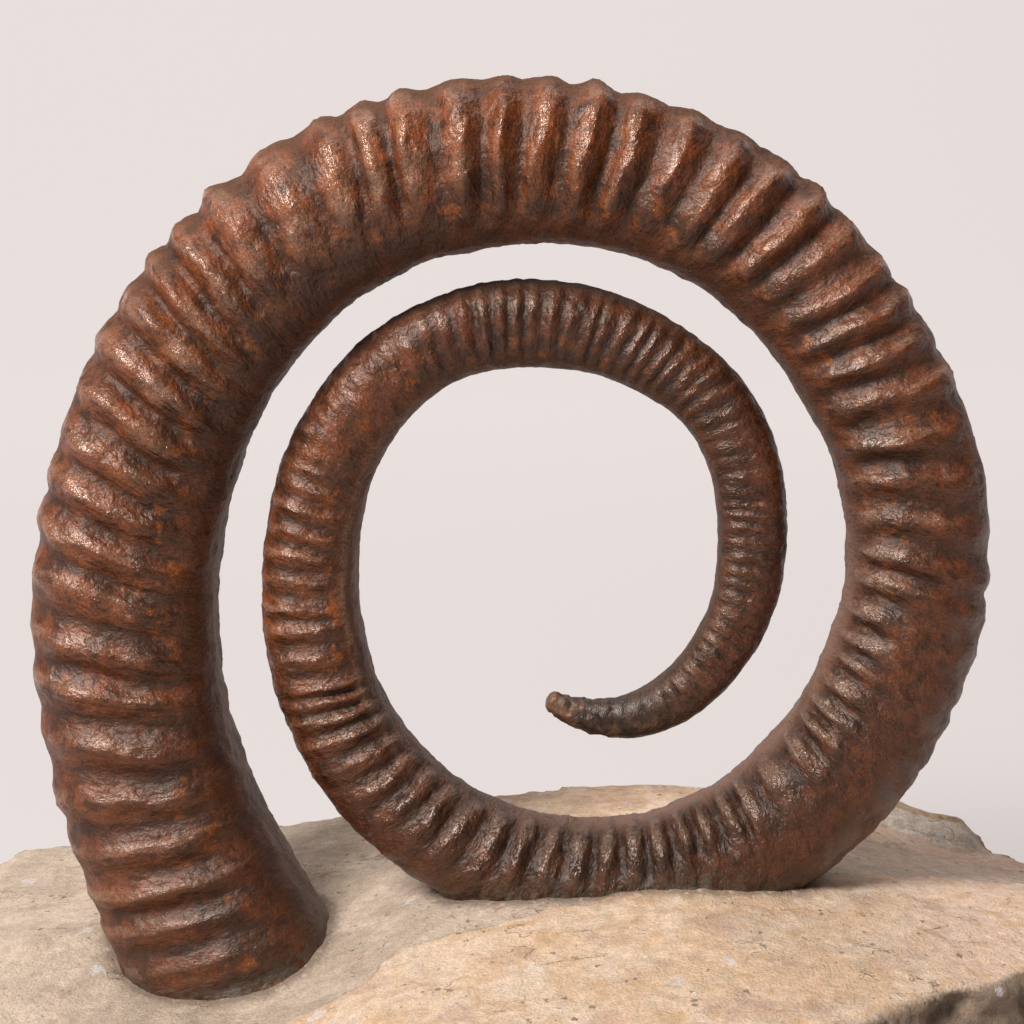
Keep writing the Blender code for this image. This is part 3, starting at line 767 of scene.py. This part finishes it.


# Several of these stand for light: a painted shade for faces turned from the key light and for the
# furrows, a painted sheen for rib faces turned towards it, and painted highlights on the rib ends
# and the tip.
SHELL_COLOURS = {  # linear red, green and blue
    "brown": (0.120, 0.033, 0.012), "red brown": (0.205, 0.062, 0.026),
    "rust": (0.245, 0.068, 0.008), "grey": (0.085, 0.052, 0.030),
    "cool brown": (0.084, 0.042, 0.028), "dark": (0.030, 0.012, 0.006),
    "underside": (0.130, 0.038, 0.008), "furrow": (0.024, 0.010, 0.005),
    "crest": (0.285, 0.148, 0.108), "knob": (0.360, 0.255, 0.215),
    "band": (0.026, 0.011, 0.006), "band rust": (0.320, 0.090, 0.014),
    "dust": (0.074, 0.032, 0.015), "inner strip": (0.085, 0.038, 0.021),
    "seam": (0.230, 0.150, 0.115), "pale edge": (0.215, 0.112, 0.074),
    "film": (0.175, 0.130, 0.115), "spot": (0.015, 0.010, 0.008),
    "grit_and_contact_shade": (0.095, 0.088, 0.066), "black": (0.012, 0.009, 0.007),
    "black brown": (0.075, 0.036, 0.020), "tip knob": (0.33, 0.29, 0.27),
    "broken end": (0.180, 0.085, 0.048)}


def shell_finish(blotches, specks, grain):
    """Dark red-brown fossil shell, glossy on the ribs and dusty where it faces up, with painted
    sheen, shade and highlights.
    """
    material, wire, shader = new_material("brown_fossil_shell_skin", (0.165, 0.058, 0.032, 1.0))
    hue = SHELL_COLOURS
    tube = wire.field("tube_place", vector=True)
    relief, inner, warmth = (wire.field(name) for name in ("relief", "inner_edge", "warmth"))
    place = wire.add("TexCoord").outputs["Object"]
    normal = wire.add("SeparateXYZ", Vector=wire.add("NewGeometry").outputs["Normal"]).outputs
    upward = wire.mask(normal["Z"], 0.50, 0.95)
    # how far a face is turned up and to the left, towards the key light
    facing_key_light = wire.maths("ADD", wire.times(normal["Z"], 0.9), wire.times(normal["X"], -0.45))
    streaky = stretched(wire, tube, (0.3, 1.0, 1.0))

    def patch(size, low, high, pattern, where=place):
        return wire.group(
            blotches, Place=where, Size=size, Low=low, High=high, Pattern=pattern)["Mask"]

    # the browns, from all over to single places, with painted sheen, painted shade and painted
    # highlights that follow the key light
    colour = wire.lay(hue["brown"], hue["red brown"], patch(0.007, 0.40, 0.62, 1.0))
    colour = wire.lay(colour, hue["rust"], patch(0.006, 0.50, 0.66, 5.0), warmth, 0.45)
    colour = wire.lay(colour, hue["grey"], patch(0.005, 0.56, 0.70, 9.0), 0.35)
    colour = wire.lay(colour, hue["cool brown"], wire.maths("SUBTRACT", 1.0, warmth), 0.75)
    dark = wire.maths("MAXIMUM", patch(0.004, 0.47, 0.66, 13.0), patch(0.010, 0.52, 0.66, 14.0))
    colour = wire.lay(colour, hue["dark"], dark, 0.75)
    # painted shade: faces turned away from the key light are laid a darker rust brown where the
    # brown is warm
    under = wire.times(wire.mask(facing_key_light, 0.10, -0.22), patch(0.005, 0.34, 0.58, 9.0), warmth)
    colour = wire.lay(colour, hue["underside"], under, 0.50)
    # painted shade: the furrows between the ribs are laid near black
    furrow = wire.times(wire.mask(relief, -0.10, -0.75), patch(0.008, 0.28, 0.58, 17.0))
    colour = wire.lay(colour, hue["furrow"], furrow, 0.70)
    # painted sheen: the raised rib faces turned towards the key light are laid a pale grey-pink
    crest = wire.times(wire.mask(facing_key_light, 0.02, 0.30), wire.mask(relief, -0.05, 0.35))
    colour = wire.lay(colour, hue["crest"], crest, patch(0.006, 0.34, 0.58, 21.0), 0.70)
    # painted highlight: pale silver-pink patches on the rib ends
    knob = wire.times(wire.field("knob"), patch(0.004, 0.30, 0.52, 23.0))
    colour = wire.lay(colour, hue["knob"], knob, 0.75)
    band = wire.field("shade_band")
    colour = wire.lay(colour, hue["band"], band, patch(0.009, 0.38, 0.58, 43.0), 0.7)
    colour = wire.lay(colour, hue["band rust"], band, patch(0.004, 0.54, 0.66, 23.0), warmth, 0.7)

    # dust where the skin faces up, and the two edges of the flank
    edge_dust = wire.times(wire.field("outer_edge"), upward)
    inner_dust = wire.times(inner, wire.mask(normal["Z"], 0.0, 0.8),
                            patch(0.007, 0.35, 0.62, 45.0, streaky), 0.75)
    dust = wire.times(upward, patch(0.010, 0.30, 0.60, 14.0), 0.5)
    dust = wire.maths("MAXIMUM", dust, wire.times(edge_dust, 0.85))
    dust = wire.maths("MAXIMUM", dust, inner_dust)
    colour = wire.lay(colour, hue["dust"], dust)
    colour = wire.lay(colour, hue["inner strip"], wire.mask(inner, 0.3, 1.0),
                      patch(0.007, 0.35, 0.60, 45.0, streaky), 0.45)
    colour = wire.lay(colour, hue["seam"], wire.field("seam"), patch(0.004, 0.32, 0.52, 23.0), 0.75)

    # grain and tone over all of that, then what lies on top
    fine = wire.group(grain, Place=place, Size=0.0005)
    shade = wire.times(wire.spread(fine["Shade"], 0.52, 1.54), wire.field("tone"))
    tint = wire.add("CombineColor", Red=shade, Green=wire.times(shade, 0.91),
                    Blue=wire.times(shade, 0.76)).outputs[0]
    colour = wire.mix(1.0, colour, tint, "MULTIPLY")
    colour = wire.lay(colour, hue["pale edge"], wire.field("pale_edge"),
                      patch(0.007, 0.25, 0.50, 45.0, streaky), 0.75)
    colour = wire.lay(colour, hue["film"], wire.field("film"), patch(0.009, 0.46, 0.62, 43.0), 0.60)
    spots = wire.group(specks, Place=place, Size=0.0015, Share=0.05, Ragged=0.4)["Mask"]
    colour = wire.lay(colour, hue["spot"], spots, 0.6)
    # grey grit on the shell close to the stone
    colour = wire.lay(colour, hue["grit_and_contact_shade"], wire.field("near_stone"),
                      patch(0.0022, 0.38, 0.58, 29.0), 0.85)
    growth = wire.field("growth")
    tip = wire.mask(growth, 0.065, 0.030)
    blackened = wire.lay(hue["black"], hue["black brown"], patch(0.003, 0.45, 0.62, 51.0))
    colour = wire.lay(colour, blackened, tip, 0.85)
    # painted highlights: pale glints along the tip's upper flank
    colour = wire.lay(colour, hue["tip knob"], knob, tip, 0.5)
    colour = wire.lay(colour, hue["broken end"], wire.mask(growth, 0.020, 0.006),
                      patch(0.003, 0.35, 0.60, 51.0), 0.8)
    wire.join(shader, "Base_Color", colour)

    wet = wire.times(patch(0.006, 0.34, 0.54, 21.0), wire.mask(relief, -0.1, 0.6))
    gloss = wire.spread(wire.maths("MAXIMUM", wet, wire.field("knob")), 0.42, 0.16)
    matt = wire.maths("MAXIMUM", dust, wire.times(inner, 0.8))
    matt = wire.maths("MAXIMUM", matt, wire.mask(relief, 0.0, -0.7, 0.0, 0.6))
    matt = wire.maths("MAXIMUM", matt, wire.times(wire.field("matt"), 0.5))
    wire.join(shader, "Roughness", wire.blend(edge_dust, wire.blend(matt, gloss, 0.64), 0.95))
    shader.inputs["Specular IOR Level"].default_value = 0.7
    shader.inputs["Specular Tint"].default_value = (1.0, 0.85, 0.77, 1.0)

    # wrinkles, from broad to fine
    along_ribs = stretched(wire, tube, (1.0, 0.62, 0.62))
    calm = wire.mask(wire.field("matt"), 0.0, 1.0, 1.0, 0.45)

    def creases(size, roughness):
        height = wire.group(grain, Place=along_ribs, Size=size, Roughness=roughness)["Height"]
        return wire.maths("ABSOLUTE", wire.maths("SUBTRACT", height, 0.5))

    swell = wire.group(grain, Place=along_ribs, Size=0.0046, Roughness=0.55)["Height"]
    skin = wire.bump(wire.times(swell, calm), 0.0022)
    knobbly = wire.mask(wire.field("knob"), 0.0, 1.0, 1.0, 2.2)
    skin = wire.bump(wire.times(creases(0.0026, 0.55), knobbly, calm), 0.0009, over=skin)
    raised = wire.mask(relief, -0.3, 0.4, 0.3, 1.0)
    skin = wire.bump(wire.times(creases(0.0011, 0.6), raised), 0.00022, over=skin)
    streaks = wire.group(grain, Place=stretched(wire, tube, (1.0, 0.40, 0.40)), Size=0.0007)
    skin = wire.bump(streaks["Height"], 0.00016, 0.8, over=skin)
    wire.join(shader, "Normal", skin)
    return material


# the grit colour also darkens the stone beside the shell as painted contact shade
STONE_COLOURS = {
    "ochre": (0.765, 0.535, 0.360), "pale ochre": (0.810, 0.620, 0.465),
    "brown stain": (0.560, 0.370, 0.270), "cut": (0.540, 0.425, 0.330),
    "pale cut": (0.670, 0.530, 0.415), "cut line": (0.330, 0.220, 0.140),
    "pink": (0.800, 0.580, 0.470), "layer": (0.700, 0.575, 0.485),
    "pale layer": (0.900, 0.790, 0.700), "rim": (0.450, 0.300, 0.190),
    "broken": (0.255, 0.185, 0.135), "pale broken": (0.390, 0.290, 0.210),
    "damp": (0.135, 0.095, 0.068), "gold": (0.600, 0.370, 0.180),
    "rust": (0.420, 0.170, 0.060), "black": (0.120, 0.090, 0.070),
    "white": (0.760, 0.740, 0.745), "crack": (0.260, 0.165, 0.100),
    "grit_and_contact_shade": (0.185, 0.130, 0.092)}


def stone_finish(blotches, specks, grain):
    """Cream limestone: grey-beige where it was cut down, ochre skin, brown broken sides."""
    material, wire, shader = new_material("cream_limestone_skin", (0.545, 0.430, 0.300, 1.0))
    hue = STONE_COLOURS
    place = wire.add("TexCoord").outputs["Object"]
    prepared, side, ledge = (wire.field(name) for name in ("prepared", "side", "ledge"))

    def patch(size, low, high, pattern):
        return wire.group(
            blotches, Place=place, Size=size, Low=low, High=high, Pattern=pattern)["Mask"]

    # the skin, the cut ground, the standing layer and the broken sides
    skin = wire.lay(hue["ochre"], hue["pale ochre"], patch(0.016, 0.40, 0.62, 2.0))
    skin = wire.lay(skin, hue["brown stain"], patch(0.011, 0.52, 0.66, 6.0), 0.6)
    cut = wire.lay(hue["cut"], hue["pale cut"], patch(0.014, 0.38, 0.62, 10.0))
    colour = wire.lay(skin, cut, prepared)
    line = wire.times(wire.mask(prepared, 0.08, 0.35), wire.mask(prepared, 0.92, 0.60))
    colour = wire.lay(colour, hue["cut line"], line, patch(0.010, 0.40, 0.55, 36.0), 0.5)
    right_end = wire.mask(wire.add("SeparateXYZ", Vector=place).outputs["X"], 0.075, 0.115)
    colour = wire.lay(colour, hue["pink"], right_end, patch(0.020, 0.30, 0.55, 14.0), 0.6)
    layers = wire.group(grain, Place=stretched(wire, place, (0.10, 1.0, 1.0)), Size=0.0014)
    layered = wire.lay(hue["layer"], hue["pale layer"], layers["Shade"])
    colour = wire.lay(colour, layered, wire.mask(ledge, 0.02, 0.12), wire.mask(ledge, 0.97, 0.80))
    colour = wire.lay(colour, hue["rim"], wire.mask(ledge, 0.88, 0.97), 0.7)
    broken = wire.lay(hue["broken"], hue["pale broken"], patch(0.020, 0.30, 0.70, 18.0))
    broken = wire.lay(broken, hue["damp"], patch(0.0045, 0.44, 0.72, 20.0), 0.6)
    colour = wire.lay(colour, broken, side)

    # grain over all of that, then stains, specks, cracks, and grit with painted contact shade
    # around the shell
    fine = wire.group(grain, Place=place, Size=0.0007)
    mottle = wire.group(grain, Place=place, Size=0.0032, Roughness=0.65)["Shade"]
    shade = wire.times(wire.spread(fine["Shade"], 0.82, 1.14), wire.spread(mottle, 0.86, 1.10))
    tint = wire.add("CombineColor", Red=shade, Green=shade, Blue=shade).outputs[0]
    colour = wire.mix(1.0, colour, tint, "MULTIPLY")
    bare = wire.maths("SUBTRACT", 1.0, wire.maths("MAXIMUM", side, wire.times(prepared, 0.85)))
    colour = wire.lay(colour, hue["gold"], patch(0.0050, 0.52, 0.66, 34.0), bare, 0.5)
    rust = wire.times(patch(0.0016, 0.62, 0.68, 30.0), patch(0.012, 0.50, 0.60, 31.0))
    colour = wire.lay(colour, hue["rust"], rust, 0.75)
    black = wire.group(specks, Place=place, Size=0.0020, Share=0.10, Ragged=0.25)["Mask"]
    colour = wire.lay(colour, hue["black"], black, 0.65)
    white = wire.group(specks, Place=place, Size=0.0062, Share=0.15, Ragged=0.5)["Mask"]
    colour = wire.lay(colour, hue["white"], white, patch(0.0012, 0.38, 0.52, 32.0), 0.55)
    vein = wire.group(
        grain, Place=stretched(wire, place, (0.55, 1.0, 1.0)), Size=0.020, Roughness=0.6)
    vein = wire.maths("ABSOLUTE", wire.maths("SUBTRACT", vein["Height"], 0.5))
    crack = wire.times(wire.mask(vein, 0.0035, 0.0010), patch(0.018, 0.50, 0.60, 35.0))
    colour = wire.lay(colour, hue["crack"], crack, 0.45)
    # grit, partly painted contact shade: the stone is darkened close to where the shell meets it
    grit_and_contact_shade = wire.times(wire.field("contact"), patch(0.0018, 0.22, 0.50, 22.0))
    colour = wire.lay(colour, hue["grit_and_contact_shade"], wire.mask(grit_and_contact_shade, 0.10, 0.75, 0.0, 0.75))
    wire.join(shader, "Base_Color", colour)
    wire.join(shader, "Roughness", wire.spread(patch(0.006, 0.30, 0.70, 26.0), 0.80, 0.95))
    shader.inputs["Specular IOR Level"].default_value = 0.3

    coarse = wire.group(grain, Place=place, Size=0.0030, Roughness=0.75)["Height"]
    rock = wire.bump(coarse, 0.0010, 0.7)
    rock = wire.bump(fine["Height"], 0.00045, over=rock)
    rock = wire.bump(crack, -0.0006, over=rock)
    wire.join(shader, "Normal", rock)
    return material


# ---- floor, light and camera -----------------------------------------------------------
def make_backdrop():
    """A plain pale floor that sweeps up into a wall behind the stone."""
    deselect_all()
    bpy.ops.mesh.primitive_plane_add(size=1.0, location=(0.0, 0.0, -0.0005))
    backdrop = bpy.context.active_object
    backdrop.name = "backdrop"
    backdrop.scale = (6.0, 3.0, 1.0)
    bpy.ops.object.transform_apply(location=True, rotation=False, scale=True)
    select_edges(backdrop, lambda first, second: first.y > 1.0 and second.y > 1.0)
    for turn in range(1, 10):
        tilt = math.radians(10 * turn)
        bpy.ops.mesh.extrude_region_move(
            TRANSFORM_OT_translate={"value": (0.0, 0.12 * math.cos(tilt), 0.12 * math.sin(tilt))})
    bpy.ops.mesh.extrude_region_move(TRANSFORM_OT_translate={"value": (0.0, 0.0, 2.5)})
    bpy.ops.object.mode_set(mode="OBJECT")
    bpy.ops.object.shade_smooth()
    material, wire, shader = new_material("pale_paper", (0.85, 0.80, 0.78, 1.0))
    place = wire.add("TexCoord").outputs["Object"]
    behind = wire.mask(wire.add("SeparateXYZ", Vector=place).outputs["Y"], -0.10, 0.15)
    far = wire.mask(wire.add("SeparateXYZ", Vector=place).outputs["Y"], 0.1, 1.6)
    cloud = wire.add("TexNoise", Vector=place, Scale=2.0)
    paper = wire.mix(cloud.outputs["Fac"], (0.430, 0.400, 0.390, 1), (0.460, 0.430, 0.420, 1))
    wire.join(shader, "Base_Color", wire.mix(behind, paper, (0.250, 0.232, 0.228, 1)))
    glow = wire.mix(far, (0.475, 0.434, 0.426, 1), (0.615, 0.562, 0.551, 1))
    wire.join(shader, "Emission_Color", wire.mix(behind, (0.060, 0.055, 0.054, 1), glow))
    shader.inputs["Emission Strength"].default_value = 1.0
    shader.inputs["Roughness"].default_value = 0.95
    backdrop.data.materials.append(material)


def add_light(name, place, target, size, power, colour):
    """A square soft light that points at a target."""
    light = bpy.data.lights.new(name, "AREA")
    light.shape = "SQUARE"
    light.size = size
    light.energy = power
    light.color = colour
    item = bpy.data.objects.new(name, light)
    item.location = place
    item.rotation_euler = (Vector(target) - Vector(place)).to_track_quat("-Z", "Y").to_euler()
    bpy.context.scene.collection.objects.link(item)


def make_studio():
    """Soft key light from the upper left, pale surroundings, and the camera."""
    middle = (0.0, 0.0, 0.14)
    add_light("key_light", (-1.04, -1.32, 1.71), middle, 0.72, 70.0, (1.0, 0.97, 0.94))
    add_light("top_light", (0.10, 0.40, 1.30), middle, 0.50, 3.6, (1.0, 0.98, 0.96))
    world = bpy.context.scene.world or bpy.data.worlds.new("surroundings")
    bpy.context.scene.world = world
    world.use_nodes = True
    sky = world.node_tree.nodes["Background"]
    sky.inputs["Color"].default_value = (0.93, 0.89, 0.88, 1.0)
    sky.inputs["Strength"].default_value = 0.13
    camera = bpy.data.cameras.new("camera")
    camera.lens = 72.8
    camera.sensor_width = 36.0
    item = bpy.data.objects.new("camera", camera)
    item.location = (0.0, -0.4893, 0.2413)
    item.rotation_euler = (math.radians(80.0), 0.0, 0.0)
    bpy.context.scene.collection.objects.link(item)
    bpy.context.scene.camera = item
    bpy.context.scene.view_settings.view_transform = "Standard"


# ---- putting it together ---------------------------------------------------------------
shell_skin = make_shell()
stone_skin = make_stone(shell_skin)

stone_tree = BVHTree.FromObject(stone_skin, bpy.context.evaluated_depsgraph_get())
shell_places = vertex_places(shell_skin)
from_stone = np.full(len(shell_places), 1.0)
for index in np.nonzero(shell_places[:, 2] < 0.085)[0]:
    from_stone[index] = stone_tree.find_nearest(Vector(shell_places[index]))[3]
store(shell_skin, "near_stone", np.exp(-from_stone / 0.0030))

shared = (blotches_group(), specks_group(), grain_group())
for skin, finish, node, slot in (
        (shell_skin, shell_finish, "ammonite_shell", "fossil_shell"),
        (stone_skin, stone_finish, "limestone_block", "limestone")):
    skin.data.materials.clear()
    skin.data.materials.append(finish(*shared))
    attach(skin, "root")
    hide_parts(node)

make_backdrop()
make_studio()
